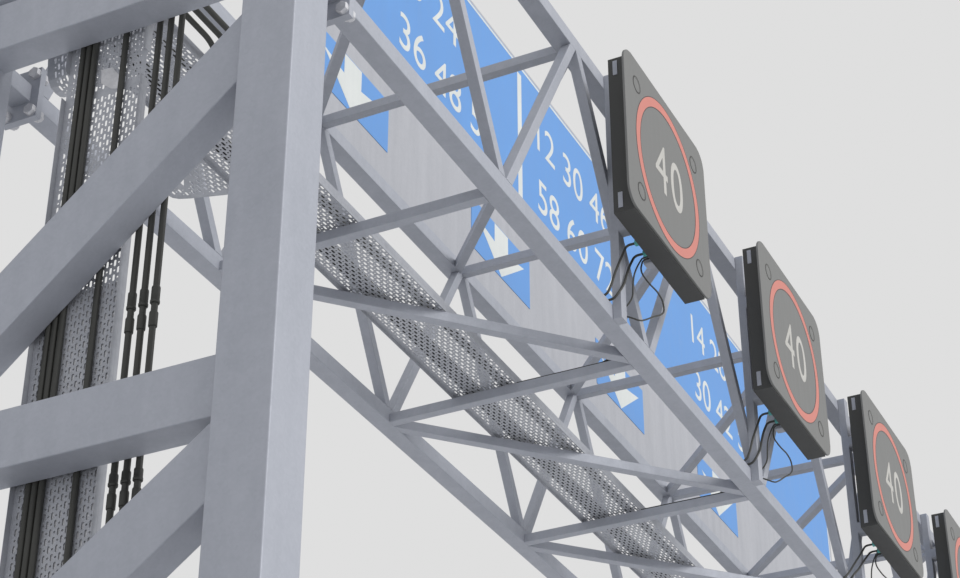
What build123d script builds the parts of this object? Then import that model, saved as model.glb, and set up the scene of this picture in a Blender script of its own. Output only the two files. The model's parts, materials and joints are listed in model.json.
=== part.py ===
from build123d import *
import math
import os

os.makedirs("parts", exist_ok=True)

# Leg towers: X along the span, Y through the depth, Z up, millimetres
post_side = 427
truss_depth = 2750
truss_rise = 2600
underside = 7000
chord_wide = 180
chord_high = 160
strut_high = 437
strut_wide = 259
base_thick = 40
base_side = 750
anchor_pitch = 590
anchor_hole = 42
strut_low_shares = [0.0857, 0.50786]
strut_over_underside = 130
strut_below_top = 100
diagonal_below_shares = [0, 0.122, 0.03]
diagonal_drop_shares = [0.691, 0.6533, 0.7054]
diagonal_upright_shares = [0.2168, 0.1858, 0.2583]

# Truss bays and bracing
bay = 3120
bays = 7
end_panel = 1785
web_side = 100
web_lean = 1560
web_gap = 15
web_end_clear = 40
bracing_gap = 12
flange_from_post = 400
flange_thick = 30
flange_wide = 330
flange_high = 466

# Sign board behind the rear top chord
sign_left = -8775
sign_right = 9820
sign_rise = 4450
sign_gap = 70
board_clear = 20
board_thick = 60
panel_proud = 6
panel_margin = 100
blue_rise = 1770
arrow_rise = 805
arrow_tall = 678
arrow_wide = 1603
lane = 3650
lanes = 4
sign_post_wide = 120
sign_post_deep = 200
sign_post_clear = 280
sign_posts_at = [-7800, -4680, -1560, 1560, 4680, 7800]
bracket_high = 160
bracket_hold = 60

# Lane signals
signal_first = -6850
signal_side = 1735
signal_deep = 200
signal_back = 286
signal_lift = 710
face_side = 1780
face_thick = 24
face_round = 190
pole_offset = -220
pole_wide = 122
pole_deep = 90
rail_reach = 406
rail_high = 100
rail_deep = 60
rail_inset = 290
clamp_wide = 160
clamp_high = 150
clamp_round = 40
gland_dia = 60
gland_long = 40
gland_rise = 45
gland_places = [-268, -70]

# Signal leads: across, back and up from the case's lower rear edge, and share of a shifted landing
lead_dia = 24
lead_drops = [
    [(-268, 40, 45, 0), (-268, 130, 45, 0), (-310, 175, -110, 0.2), (-365, 215, -280, 0.5),
     (-410, 235, -430, 0.8), (-427, 280, -538, 1)],
    [(-70, 40, 45, 0), (-70, 130, 45, 0), (-120, 165, -80, 0.2), (-190, 172, -220, 0.5),
     (-262, 172, -360, 0.8), (-330, 195, -470, 1), (-340, 244, -538, 1)],
]
lead_shifts = [0, 0, -340, 0]
lead_beds = [68, 28]
lead_brace_sides = [-20, 20]
lead_braces = [1, 2, 3, 5]
lead_step_from = 225
lead_step_to = 385
lead_hold_turn = 70
wire_dia = 16
wire_drops = [
    [(-30, 0, 30), (-30, 70, 30), (-95, 100, -90), (-140, 120, -210), (-150, 130, -330),
     (-125, 145, -430), (-151, 190, -520), (-151, 265, -570)],
    [(5, 0, 30), (5, 80, 30), (-40, 95, -115), (40, 45, -215), (230, 36, -205), (360, 36, -235),
     (395, 38, -330), (300, 44, -420), (150, 50, -510), (0, 66, -620), (-110, 90, -690),
     (-151, 170, -650), (-151, 260, -610)],
]

# Perforated trays of H section and the cables that lie in them
tray_wide = 690
tray_thick = 6
tray_wall = 96
tray_base_rise = 41
tray_aside = 250
tray_turn = 170
riser_low = 300
riser_top = 6500
bend_foot = 6740
cable_dia = 46
cable_short = 400
tray_cables = [213, 160, 105, -163]
side_cables = [-458, -554, -647]
side_lanes = [186, 132, -163]
side_turn = 245
side_cross_turn = 600
side_cross_from = 740
side_cross_run = 850
side_cross_stagger = 60

# Sheets hung on the tray's rear wall: a curved trough near the bend, its heights from the tray's base,
# and a flat plate, its depth as a share of the room up to the rear chord
trough_deep = 368
trough_head = 49
trough_line = [(353, -27), (381, -179), (442, -233), (519, -238), (579, -217), (710, -79), (795, -1)]
trough_rounds = [90, 50, 60, 50, 140]
trough_end = 845
plate_line = [
    (1945, 0), (2525, 0), (2505, 0.2), (2420, 0.62),
    (2385, 0.75), (2345, 0.81), (2245, 0.85), (1845, 0.85),
]
plate_hole = [(2085, 0.4), (2145, 0.55), (2245, 0.55)]

# Lines that follow from the sizes above
front_reach = chord_wide / 2 + signal_back + signal_deep + face_thick
rear_reach = chord_wide / 2 + sign_gap + board_thick + sign_post_deep
leg_centre = bays * bay / 2 + end_panel
truss_y = (front_reach - rear_reach) / 2
front_y = truss_y - truss_depth / 2
rear_y = truss_y + truss_depth / 2
chord_level = underside + chord_high / 2
top_level = chord_level + truss_rise
strut_levels = [share * underside for share in strut_low_shares]
strut_levels += [underside + strut_over_underside, top_level - strut_below_top]
sign_top = top_level + sign_rise
blue_low = top_level + blue_rise
arrow_low = top_level + arrow_rise
post_face = leg_centre - post_side / 2
flange_x = post_face - flange_from_post
chord_end = flange_x - flange_thick
post_top = top_level + post_side / 2
inner_depth = truss_depth - post_side
post_inner_front = front_y + post_side / 2
post_inner_rear = rear_y - post_side / 2
tray_y = truss_y + tray_aside


def export(part, name):
    part.label = name
    export_step(part, f"parts/{name}.step")


# Near leg
with BuildPart() as near_front_post:
    with BuildSketch(Plane.XY.offset(base_thick)):
        with Locations((-leg_centre, front_y)):
            Rectangle(post_side, post_side)
    extrude(amount=post_top - base_thick)

with BuildPart() as near_rear_post:
    with BuildSketch(Plane.XY.offset(base_thick)):
        with Locations((-leg_centre, rear_y)):
            Rectangle(post_side, post_side)
    extrude(amount=post_top - base_thick)

with BuildPart() as near_base_plates:
    with BuildSketch(Plane.XY):
        with Locations((-leg_centre, front_y), (-leg_centre, rear_y)):
            Rectangle(base_side, base_side)
            with GridLocations(anchor_pitch, anchor_pitch, 2, 2):
                Circle(anchor_hole / 2, mode=Mode.SUBTRACT)
    extrude(amount=base_thick)

with BuildPart() as near_struts:
    with BuildSketch(Plane.YZ.offset(-leg_centre - strut_wide / 2)):
        for level in strut_levels:
            with Locations((truss_y, level)):
                Rectangle(inner_depth, strut_high)
    extrude(amount=strut_wide)

with BuildPart() as near_diagonals:
    with BuildSketch(Plane.YZ.offset(-leg_centre - strut_wide / 2)):
        for low_strut, level, below, drop_share, upright_share in zip(
            strut_levels,
            strut_levels[1:],
            diagonal_below_shares,
            diagonal_drop_shares,
            diagonal_upright_shares,
        ):
            panel = level - low_strut - strut_high
            high = level - strut_high / 2 - below * panel
            drop = drop_share * panel
            upright = upright_share * panel
            Polygon(
                (post_inner_front, high),
                (post_inner_front, high - upright),
                (post_inner_rear, high - drop - upright),
                (post_inner_rear, high - drop),
                align=None,
            )
    extrude(amount=strut_wide)

with BuildPart() as near_chord_stubs:
    with BuildSketch(Plane.YZ.offset(-post_face)):
        with Locations((truss_y, chord_level + truss_rise / 2)):
            with GridLocations(truss_depth, truss_rise, 2, 2):
                Rectangle(chord_wide, chord_high)
    extrude(amount=flange_from_post - flange_thick)

leg_pieces = {
    "front_post": near_front_post,
    "rear_post": near_rear_post,
    "base_plates": near_base_plates,
    "struts": near_struts,
    "diagonals": near_diagonals,
    "chord_stubs": near_chord_stubs,
}
for piece_name, near_piece in leg_pieces.items():
    with BuildPart() as far_piece:
        add(near_piece.part)
        mirror(about=Plane.YZ, mode=Mode.REPLACE)
    export(near_piece.part, f"near_{piece_name}")
    export(far_piece.part, f"far_{piece_name}")

# End flanges where the truss bolts to the legs, four at each end on either side of the joint
flange_sets = {
    "leg_flanges": (-flange_x - flange_thick, flange_x),
    "truss_flanges": (-flange_x, chord_end),
}
for flange_name, flange_starts in flange_sets.items():
    with BuildPart() as flanges:
        for start in flange_starts:
            with BuildSketch(Plane.YZ.offset(start)):
                with Locations((truss_y, chord_level + truss_rise / 2)):
                    with GridLocations(truss_depth, truss_rise, 2, 2):
                        Rectangle(flange_wide, flange_high)
            extrude(amount=flange_thick)
    export(flanges.part, flange_name)

# Four chords
chords = {
    "chord_front_bottom": (front_y, chord_level),
    "chord_front_top": (front_y, top_level),
    "chord_rear_bottom": (rear_y, chord_level),
    "chord_rear_top": (rear_y, top_level),
}
for chord_name, (chord_y, chord_z) in chords.items():
    with BuildPart() as chord:
        with BuildSketch(Plane.YZ.offset(-chord_end)):
            with Locations((chord_y, chord_z)):
                Rectangle(chord_wide, chord_high)
        extrude(amount=2 * chord_end)
    export(chord.part, chord_name)

# Zigzag webs of the front and rear sides
web_low = underside + chord_high
web_high = top_level - chord_high / 2
web_run = web_high - web_low
web_slope = math.atan2(web_run, web_lean - web_gap - web_side)
web_across = web_side / math.sin(web_slope)
top_nodes = [(k - bays / 2) * bay for k in range(bays + 1)]
web_limit = chord_end - web_end_clear
web_backs = {
    "front_web": front_y - chord_wide / 2 + web_side,
    "rear_web": rear_y - chord_wide / 2 + web_side,
}

for web_name, web_back in web_backs.items():
    with BuildPart() as web:
        with BuildSketch(Plane.XZ.offset(-web_back)):
            for node in top_nodes:
                for way in (-1, 1):
                    top_in = node + way * web_gap / 2
                    foot_out = way * min(way * node + web_lean - web_gap / 2, web_limit)
                    Polygon(
                        (top_in, web_high),
                        (top_in + way * web_across, web_high),
                        (foot_out, web_low),
                        (foot_out - way * web_across, web_low),
                        align=None,
                    )
        extrude(amount=web_side)
    export(web.part, web_name)

# Flat bracing between the front and rear chords
inner_front = front_y + chord_wide / 2
inner_rear = rear_y - chord_wide / 2
brace_run = inner_rear - inner_front
brace_lean = math.atan2(brace_run, bay - 2 * web_side)
brace_across = web_side / math.sin(brace_lean)
beside = web_side / 2 + bracing_gap


def slanted(front_x, rear_x):
    return Polygon(
        (front_x - brace_across / 2, inner_front),
        (front_x + brace_across / 2, inner_front),
        (rear_x + brace_across / 2, inner_rear),
        (rear_x - brace_across / 2, inner_rear),
        align=None,
    )


with BuildPart() as top_bracing:
    with BuildSketch(Plane.XY.offset(top_level - chord_high / 2)):
        for node in top_nodes:
            with Locations((node, truss_y)):
                Rectangle(web_side, brace_run)
        for node in top_nodes[:-1]:
            slanted(node + beside + brace_across / 2, node + bay - beside - brace_across / 2)
    extrude(amount=web_side)
export(top_bracing.part, "top_bracing")

bottom_nodes = [node + web_lean for node in top_nodes[:-1]]
with BuildPart() as bottom_bracing:
    with BuildSketch(Plane.XY.offset(underside)):
        for node in bottom_nodes:
            with Locations((node, truss_y)):
                Rectangle(web_side, brace_run)
        for node in bottom_nodes[:-1]:
            slanted(node + bay - beside - brace_across / 2, node + beside + brace_across / 2)
    extrude(amount=web_side)
export(bottom_bracing.part, "bottom_bracing")

# Sign
board_low = top_level + chord_high / 2 + board_clear
sign_middle = (sign_left + sign_right) / 2
chord_back = rear_y + chord_wide / 2
board_y = chord_back + sign_gap
with BuildPart() as sign_board:
    with BuildSketch(Plane.XZ.offset(-board_y)):
        with Locations((sign_middle, (board_low + sign_top) / 2)):
            Rectangle(sign_right - sign_left, sign_top - board_low)
    extrude(amount=-board_thick)
export(sign_board.part, "sign_board")

with BuildPart() as direction_panel:
    with BuildSketch(Plane.XZ.offset(-board_y)):
        with Locations((sign_middle, (blue_low + sign_top) / 2)):
            Rectangle(sign_right - sign_left - 2 * panel_margin, sign_top - blue_low - panel_margin)
    extrude(amount=panel_proud)
export(direction_panel.part, "direction_panel")

with BuildPart() as arrow_panels:
    with BuildSketch(Plane.XZ.offset(-board_y)):
        for k in range(lanes):
            with Locations((signal_first + k * lane, arrow_low + arrow_tall / 2)):
                Rectangle(arrow_wide, arrow_tall)
    extrude(amount=panel_proud)
export(arrow_panels.part, "arrow_panels")

with BuildPart() as sign_posts:
    with BuildSketch(Plane.XY.offset(board_low + sign_post_clear)):
        for post_x in sign_posts_at:
            with Locations((post_x, board_y + board_thick + sign_post_deep / 2)):
                Rectangle(sign_post_wide, sign_post_deep)
    extrude(amount=sign_top - board_low - sign_post_clear)
export(sign_posts.part, "sign_posts")

with BuildPart() as sign_brackets:
    with BuildSketch(Plane.XY.offset(board_low - board_clear)):
        for post_x in sign_posts_at:
            with Locations((post_x, board_y)):
                Rectangle(sign_post_wide, sign_gap + bracket_hold, align=(Align.CENTER, Align.MAX))
    extrude(amount=bracket_high)
export(sign_brackets.part, "sign_brackets")

# Lane signals
pole_y = front_y - chord_wide / 2
back_y = pole_y - signal_back
signal_low = underside + signal_lift
signal_middle = signal_low + signal_side / 2
with BuildPart() as signal_poles:
    for k in range(lanes):
        pole_x = signal_first + k * lane + pole_offset
        with BuildSketch(Plane.XY.offset(underside)):
            with Locations((pole_x, pole_y - pole_deep / 2)):
                Rectangle(pole_wide, pole_deep)
        extrude(amount=truss_rise + chord_high)
export(signal_poles.part, "signal_poles")

rail_levels = [signal_low + rail_inset, signal_low + signal_side - rail_inset]
with BuildPart() as signal_rails:
    with BuildSketch(Plane.XZ.offset(-back_y)):
        for k in range(lanes):
            for level in rail_levels:
                with Locations((signal_first + k * lane, level)):
                    Rectangle(2 * rail_reach, rail_high)
    extrude(amount=-rail_deep)
export(signal_rails.part, "signal_rails")

with BuildPart() as signal_clamps:
    with BuildSketch(Plane.XZ.offset(-pole_y + pole_deep)):
        for k in range(lanes):
            for level in rail_levels:
                with Locations((signal_first + k * lane + pole_offset, level)):
                    RectangleRounded(clamp_wide, clamp_high, clamp_round)
    extrude(amount=signal_back - pole_deep - rail_deep)
export(signal_clamps.part, "signal_clamps")

with BuildPart() as signal_glands:
    with BuildSketch(Plane.XZ.offset(-back_y)):
        for k in range(lanes):
            for across in gland_places:
                with Locations((signal_first + k * lane + across, signal_low + gland_rise)):
                    Circle(gland_dia / 2)
    extrude(amount=-gland_long)
export(signal_glands.part, "signal_glands")

for k in range(lanes):
    signal_x = signal_first + k * lane
    with BuildPart() as signal_case:
        with BuildSketch(Plane.XZ.offset(-back_y)):
            with Locations((signal_x, signal_middle)):
                Rectangle(signal_side, signal_side)
        extrude(amount=signal_deep)
    export(signal_case.part, f"signal_{k + 1}_case")
    with BuildPart() as signal_face:
        with BuildSketch(Plane.XZ.offset(-back_y + signal_deep)):
            with Locations((signal_x, signal_middle)):
                RectangleRounded(face_side, face_side, face_round)
        extrude(amount=face_thick)
    export(signal_face.part, f"signal_{k + 1}_face")



def run_cable(points, radii, dia):
    with BuildPart() as cable:
        with BuildLine() as route:
            FilletPolyline(*points, radius=radii)
        with BuildSketch(Plane(route.line @ 0, z_dir=route.line % 0)):
            Circle(dia / 2)
        sweep()
    path_length = route.wire().length
    ratio = cable.part.volume / (math.pi * dia**2 / 4 * path_length)
    print("cable length", round(path_length), "radii", radii, "volume ratio", round(ratio, 4))
    return cable.part


def free_radii(points):
    radii = []
    for before, corner, after in zip(points, points[1:], points[2:]):
        run_in = Vector(*corner) - Vector(*before)
        run_out = Vector(*after) - Vector(*corner)
        shorter = min(run_in.length, run_out.length)
        half_turn = math.radians(run_in.get_angle(run_out)) / 2
        radii.append(round(0.45 * shorter / math.tan(half_turn), 1))
    return radii


# Leads from each signal's glands over the bottom chord and along the bracing to the tray's wall
tray_side = tray_y - tray_wide / 2
on_chord = underside + chord_high + lead_dia / 2
on_brace = underside + web_side + lead_dia / 2
lead_runs = []
wire_runs = []
for k in range(lanes):
    signal_x = signal_first + k * lane
    for drop, bed, brace_side in zip(lead_drops, lead_beds, lead_brace_sides):
        free = [
            (signal_x + across + share * lead_shifts[k], back_y + back, signal_low + up)
            for across, back, up, share in drop[:-1]
        ]
        land_x = signal_x + drop[-1][0] + lead_shifts[k]
        turn_x = bottom_nodes[lead_braces[k]] + brace_side
        held = [
            (land_x, back_y + drop[-1][1], on_chord),
            (land_x, front_y + bed, on_chord),
            (turn_x, front_y + bed, on_chord),
            (turn_x, front_y + lead_step_from, on_chord),
            (turn_x, front_y + lead_step_to, on_brace),
            (turn_x, tray_side, on_brace),
        ]
        corners = free_radii(free + held[:2]) + [lead_hold_turn] * (len(held) - 2)
        lead_runs.append(run_cable(free + held, corners, lead_dia))
    for drop in wire_drops:
        hung = [(signal_x + across, back_y + back, signal_low + up) for across, back, up in drop]
        wire_runs.append(run_cable(hung, free_radii(hung), wire_dia))
with BuildPart() as signal_leads:
    add(lead_runs)
export(signal_leads.part, "signal_leads")
with BuildPart() as signal_wires:
    add(wire_runs)
export(signal_wires.part, "signal_wires")

# Trays: a span along the bottom bracing, a bend and a riser down the near leg
base_level = underside + web_side + tray_base_rise
base_x = -leg_centre + strut_wide / 2 + tray_wall - tray_base_rise
bend_x = base_x + tray_turn
bend_level = base_level - tray_turn
span_end = leg_centre - strut_wide / 2
wall_y = tray_y + tray_wide / 2
plate_room = inner_rear - wall_y
with BuildPart() as span_tray:
    with BuildSketch(Plane.YZ.offset(bend_x)):
        with Locations((tray_y, base_level)):
            Rectangle(tray_wide, tray_thick, align=(Align.CENTER, Align.MIN))
        for edge in (-1, 1):
            with Locations((tray_y + edge * (tray_wide - tray_thick) / 2, base_level - tray_base_rise)):
                Rectangle(tray_thick, tray_wall, align=(Align.CENTER, Align.MIN))
    extrude(amount=span_end - bend_x)
export(span_tray.part, "span_tray")

with BuildPart() as riser_tray:
    with BuildSketch(Plane.XY.offset(riser_low)):
        with Locations((base_x, tray_y)):
            Rectangle(tray_thick, tray_wide, align=(Align.MAX, Align.CENTER))
        for edge in (-1, 1):
            with Locations((base_x + tray_base_rise, tray_y + edge * (tray_wide - tray_thick) / 2)):
                Rectangle(tray_wall, tray_thick, align=(Align.MAX, Align.CENTER))
    extrude(amount=riser_top - riser_low)
export(riser_tray.part, "riser_tray")

with BuildPart() as tray_bend:
    with BuildSketch(Plane.XY.offset(bend_level)) as bend_section:
        with Locations((base_x, tray_y)):
            Rectangle(tray_thick, tray_wide, align=(Align.MAX, Align.CENTER))
        for edge in (-1, 1):
            with Locations((base_x + tray_base_rise, tray_y + edge * (tray_wide - tray_thick) / 2)):
                Rectangle(tray_wall, tray_thick, align=(Align.MAX, Align.CENTER))
    extrude(amount=bend_foot - bend_level)
    revolve(bend_section.sketch, axis=Axis((bend_x, 0, bend_level), (0, 1, 0)), revolution_arc=90)
export(tray_bend.part, "tray_bend")

# Trough with a curved floor and a front cheek, and a flat plate with a three-cornered hole
trough_points = [(-leg_centre + along, base_level + up) for along, up in trough_line]
trough_rim = base_level + trough_head
with BuildPart() as side_trough:
    with BuildSketch(Plane.XZ.offset(-wall_y)):
        with BuildLine():
            FilletPolyline(*trough_points, radius=trough_rounds)
            Polyline(
                trough_points[-1],
                (-leg_centre + trough_end, trough_rim),
                (trough_points[0][0], trough_rim),
                trough_points[0],
            )
        make_face()
    extrude(amount=-trough_deep)
    with BuildSketch(Plane.XZ.offset(-wall_y - tray_thick)):
        with BuildLine() as trough_inside:
            FilletPolyline(*trough_points, radius=trough_rounds)
            Polyline(
                trough_points[-1],
                (-leg_centre + trough_end, trough_rim),
                (trough_points[0][0], trough_rim),
                trough_points[0],
            )
        make_face()
        offset(amount=-tray_thick, mode=Mode.REPLACE)
    extrude(amount=-trough_deep, mode=Mode.SUBTRACT)
    with BuildSketch(Plane.XZ.offset(-wall_y - tray_thick)):
        with Locations((trough_points[0][0] + trough_end / 2, trough_rim - tray_thick)):
            Rectangle(2 * trough_end, tray_wall, align=(Align.CENTER, Align.MIN))
    extrude(amount=-trough_deep, mode=Mode.SUBTRACT)
export(side_trough.part, "side_trough")

with BuildPart() as side_plate:
    with BuildSketch(Plane.XY.offset(base_level)):
        Polygon(*[(-leg_centre + along, wall_y + out * plate_room) for along, out in plate_line], align=None)
        Polygon(
            *[(-leg_centre + along, wall_y + out * plate_room) for along, out in plate_hole],
            align=None,
            mode=Mode.SUBTRACT,
        )
    extrude(amount=tray_thick)
export(side_plate.part, "side_plate")

# Cables: from the ground up the riser, round the bend and along the span
lie = tray_thick + cable_dia / 2
riser_lie = base_x - lie
tray_lie = base_level + lie
cable_end = span_end - cable_short
main_runs = [
    run_cable(
        [
            (riser_lie, tray_y + across, 0),
            (riser_lie, tray_y + across, tray_lie),
            (cable_end, tray_y + across, tray_lie),
        ],
        tray_turn + lie,
        cable_dia,
    )
    for across in tray_cables
]
with BuildPart() as main_cables:
    add(main_runs)
export(main_cables.part, "main_cables")

# Three cables beside the riser cross over the tray's front wall and lie on the others
over_wall = base_level - tray_base_rise + tray_wall + cable_dia / 2
side_runs = []
for k, (beside_tray, laid) in enumerate(zip(side_cables, side_lanes)):
    cross_start = riser_lie + side_cross_from + k * side_cross_stagger
    side_route = [
        (riser_lie, tray_y + beside_tray, 0),
        (riser_lie, tray_y + beside_tray, over_wall),
        (cross_start, tray_y + beside_tray, over_wall),
        (cross_start + side_cross_run, tray_y + laid, over_wall),
        (cable_end, tray_y + laid, over_wall),
    ]
    side_runs.append(run_cable(side_route, [side_turn, side_cross_turn, side_cross_turn], cable_dia))
with BuildPart() as side_cables_laid:
    add(side_runs)
export(side_cables_laid.part, "side_cables")
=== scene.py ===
import json
import math

import bmesh
import bpy
from mathutils import Matrix, Vector


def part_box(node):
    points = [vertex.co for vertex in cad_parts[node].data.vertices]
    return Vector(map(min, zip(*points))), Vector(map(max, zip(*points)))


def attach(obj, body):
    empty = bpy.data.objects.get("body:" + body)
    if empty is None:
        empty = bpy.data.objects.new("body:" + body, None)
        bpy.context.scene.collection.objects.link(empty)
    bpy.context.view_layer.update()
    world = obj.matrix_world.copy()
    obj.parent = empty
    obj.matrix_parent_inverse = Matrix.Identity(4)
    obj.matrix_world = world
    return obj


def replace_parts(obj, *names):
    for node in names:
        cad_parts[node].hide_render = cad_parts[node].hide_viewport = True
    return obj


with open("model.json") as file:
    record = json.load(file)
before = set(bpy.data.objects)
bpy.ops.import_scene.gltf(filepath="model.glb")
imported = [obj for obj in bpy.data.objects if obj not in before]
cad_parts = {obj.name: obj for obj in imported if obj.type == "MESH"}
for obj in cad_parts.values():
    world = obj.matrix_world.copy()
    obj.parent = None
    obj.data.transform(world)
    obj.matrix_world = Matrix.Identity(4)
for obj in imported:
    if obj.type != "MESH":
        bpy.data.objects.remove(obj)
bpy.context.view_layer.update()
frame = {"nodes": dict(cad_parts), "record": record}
nodes = frame["nodes"]

# Camera at the photograph's viewing angle, solved from its three vanishing directions
EYE = (-22.160, -7.447, -2.700)
LENS = 78.179
SENSOR = 36
VIEW_END = 400
RIGHT = Vector((0.442361598, -0.896836783, -0.0000319))
DOWN = Vector((0.472518817, 0.233098476, -0.849935920))
AHEAD = Vector((0.762261231, 0.375963940, 0.526886070))

# Studio light and floor
FILL_STRENGTH = 0.66
FILL_TINT = (0.93, 0.95, 1.0, 1)
BACKDROP = (0.737, 0.737, 0.737, 1)
KEY_WAY = (0.05, 0.9, -0.42)
KEY_STRENGTH = 1.75
KEY_SOFTNESS = 0.6
FLOOR_HALF_LENGTH = 15
FLOOR_HALF_DEPTH = 9
FLOOR_GREY = (0.78, 0.78, 0.78, 1)
FLOOR_ROUGHNESS = 0.9

# Rounding of the long edges, by the size of the section, and which edges count as long
POST_ROUND = 0.009
CHORD_ROUND = 0.008
BRACE_ROUND = 0.006
LONG_SHARE = 0.8
MERGE_WITHIN = 0.00001
FLAT_WITHIN = 0.02

# Trays, from their boxes in the frame
TRAY_LOW, TRAY_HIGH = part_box("span_tray")
RISER_LOW, RISER_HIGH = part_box("riser_tray")
BEND_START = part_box("tray_bend")[0].z
TRAY_Y = (TRAY_LOW.y + TRAY_HIGH.y) / 2
HALF_TRAY = (TRAY_HIGH.y - TRAY_LOW.y) / 2

# Height of the tray walls below and above the base, and where the base lies
BASE_RISE = 0.041
WALL_RISE = 0.055
BASE_Z = TRAY_LOW.z + BASE_RISE
BASE_X = RISER_HIGH.x - BASE_RISE
BEND_TURN = 0.170
BEND_X = BASE_X + BEND_TURN
BEND_Z = BASE_Z - BEND_TURN

# Perforated sheet: thickness, cell length, row width, rows and the plain strip along each edge
SHEET = 0.003
GRID = 0.0594
ROW = 0.031
ROWS = 20
EDGE_STRIP = 0.035

# Shortest plain strip at an end, as a share of a cell
LEAST_END = 0.35

# Middle of one cell on the span, then the cells and wall steps of the riser's head and the bend
SPAN_CELL_X = -8.984
HEAD_CELLS = 4
BEND_CELLS = 8
BEND_WALL_STEPS = 30

# Slot and pin hole about their own middles, in half lengths and half widths
SLOT_LONG, SLOT_STRAIGHT = 0.0257, 0.0185
SLOT_WIDE, SLOT_TIP = 0.0094, 0.0045
SLOT = [(SLOT_STRAIGHT, -SLOT_WIDE), (SLOT_LONG, -SLOT_TIP), (SLOT_LONG, SLOT_TIP),
        (SLOT_STRAIGHT, SLOT_WIDE), (-SLOT_STRAIGHT, SLOT_WIDE), (-SLOT_LONG, SLOT_TIP),
        (-SLOT_LONG, -SLOT_TIP), (-SLOT_STRAIGHT, -SLOT_WIDE)]
PIN_LONG, PIN_WIDE = 0.0085, 0.0074
PIN = [(PIN_LONG / 2, -PIN_WIDE), (PIN_LONG, 0), (PIN_LONG / 2, PIN_WIDE),
       (-PIN_LONG / 2, PIN_WIDE), (-PIN_LONG, 0), (-PIN_LONG / 2, -PIN_WIDE)]

# Side trough: corners along the span from the near post's middle, and up from the tray's base
NEAR_LOW, NEAR_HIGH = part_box("near_front_post")
NEAR_LEG = (NEAR_LOW.x + NEAR_HIGH.x) / 2
TROUGH_CORNERS = [(0.353, 0.049), (0.353, -0.027), (0.381, -0.179), (0.442, -0.233), (0.519, -0.238),
                  (0.579, -0.217), (0.710, -0.079), (0.795, -0.001), (0.845, 0.049)]
TROUGH_ROUNDS = (0.02, 0.09, 0.05, 0.06, 0.05, 0.14, 0.02)
TROUGH_ROWS = 10
TROUGH_MIDDLE = 0.156
TROUGH_STRIPS = (0.001, 0.057)
CHEEK_MARGIN = 0.008

# Side plate: corners along the span from the same place, and across as shares of the tray's width
PLATE_SHEET = 0.006
PLATE_MARGIN = 0.03
PLATE_OUTLINE = [(1.945, 0), (2.525, 0), (2.505, 0.2), (2.42, 0.62),
                 (2.385, 0.75), (2.345, 0.81), (2.245, 0.85), (1.845, 0.85)]
PLATE_OPENING = [(2.085, 0.4), (2.145, 0.55), (2.245, 0.55)]

# Backing behind the lower riser, and the cleat's outline across and up
BACKING_TOP = 4.78
BACKING_THICK = 0.003
BACKING_BEHIND = 0.0075
BACKING_INSET = 0.012
BACKING_ROUND = 0.001
CLEAT = [(0.39, 6.69), (0.29, 6.68), (0.17, 6.51), (0.18, 6.45), (0.28, 6.48), (0.38, 6.56)]
CLEAT_FRONT = 0.0060
CLEAT_BACK = 0.0035
CLEAT_ROUND = 0.0008

# Signal faces, larger than the solids that they replace
SIGNALS = [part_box(f"signal_{k}_case") for k in (1, 2, 3, 4)]
FACE_WIDE = 2.05
FACE_TALL = 1.75
FACE_ASIDE = 0.005
FACE_RAISE = 0.025
FACE_ROUND = 0.18
FACE_BEVEL = 0.006

# Ring with its dark edge lines, painted shade along the raised ring's rims, and the four lenses with rim
# and seal
RING_INNER, RING_OUTER = 0.693, 0.788
LINE_INNER, LINE_OUTER = 0.685, 0.795
LENS_SPOTS = [(across, up) for across in (-0.722, 0.722) for up in (-0.603, 0.603)]
LENS_RADIUS, LENS_RIM, LENS_SEAL = 0.068, 0.076, 0.09
LENS_STEPS = 40
LENS_FLATNESS = 0.05

# How far each part of a face stands behind the front of the CAD face, and where parts set in it end
FACE_FRONT = 0.0024
RING_FRONT = 0.0012
LINE_FRONT = 0.0006
RIM_FRONT = 0.0004
SEAL_BACK = 0.005
LENS_BACK = 0.004

# Speed figures, from the middle of the signal
SPEED_FIGURES = (("4", -0.33), ("0", 0.06))
SPEED_TALL = 0.55
SPEED_WIDE = 0.3
SPEED_DROP = 0.265
FIGURE_THICK = 0.003

# Plates on the sides of a case, and the joint box behind it
SIDE_PLATE_SIZE = (0.012, 0.045, 0.165)
SIDE_PLATE_BEHIND = 0.13
SIDE_PLATE_RISES = (0.13, 1.62)
SIDE_PLATE_ROUND = 0.002
JOINT_BOX_SIZE = (0.11, 0.09, 0.1)
JOINT_BOX_ASIDE, JOINT_BOX_BEHIND, JOINT_BOX_RISE = 0.095, 0.045, 0.055
JOINT_BOX_ROUND = 0.008

# Sign legend: how far it stands proud of the panels and sinks in, then border, divider and arrows
BLUE_LOW, BLUE_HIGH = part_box("direction_panel")
ARROWS_LOW, ARROWS_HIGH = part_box("arrow_panels")
LEGEND_PROUD = 0.002
LEGEND_SUNK = 0.001
BORDER_INSET = 0.012
BORDER_WIDE = 0.035
DIVIDER_X = (-2.694, -2.574)
DIVIDER_Z = (11.86, 13.93)
ARROW_INSET = 0.01
ARROW_BARB, ARROW_BARB_Z = 0.637, 10.965
ARROW_NECK, ARROW_NECK_Z = 0.185, 10.89

# Numbers on the sign: an upper and a lower row in each column
COLUMN_LEFTS = (-5.85, -2.1, 3.4)
COLUMN_NUMBERS = (("10 24", "36 48 50"), ("12 30 46", "58 60 72 84"), ("14 28", "30 42 56"))
ROW_BASES = (13.07, 12.13)
NUMBER_TALL = 0.5

# Flange bolts: four to a flange, a head outside the leg's flange and a nut inside the truss's
BOLT_SPOTS = [(-0.116, -0.175), (0.116, -0.175), (-0.116, 0.175), (0.116, 0.175)]
FLANGE_THICK = 0.03
BOLT_WASHER, BOLT_WASHER_THICK = 0.048, 0.006
BOLT_FLATS = 0.085
BOLT_HEAD_TALL, BOLT_NUT_TALL = 0.036, 0.04
BOLT_RADIUS, BOLT_END = 0.027, 0.066

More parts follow.
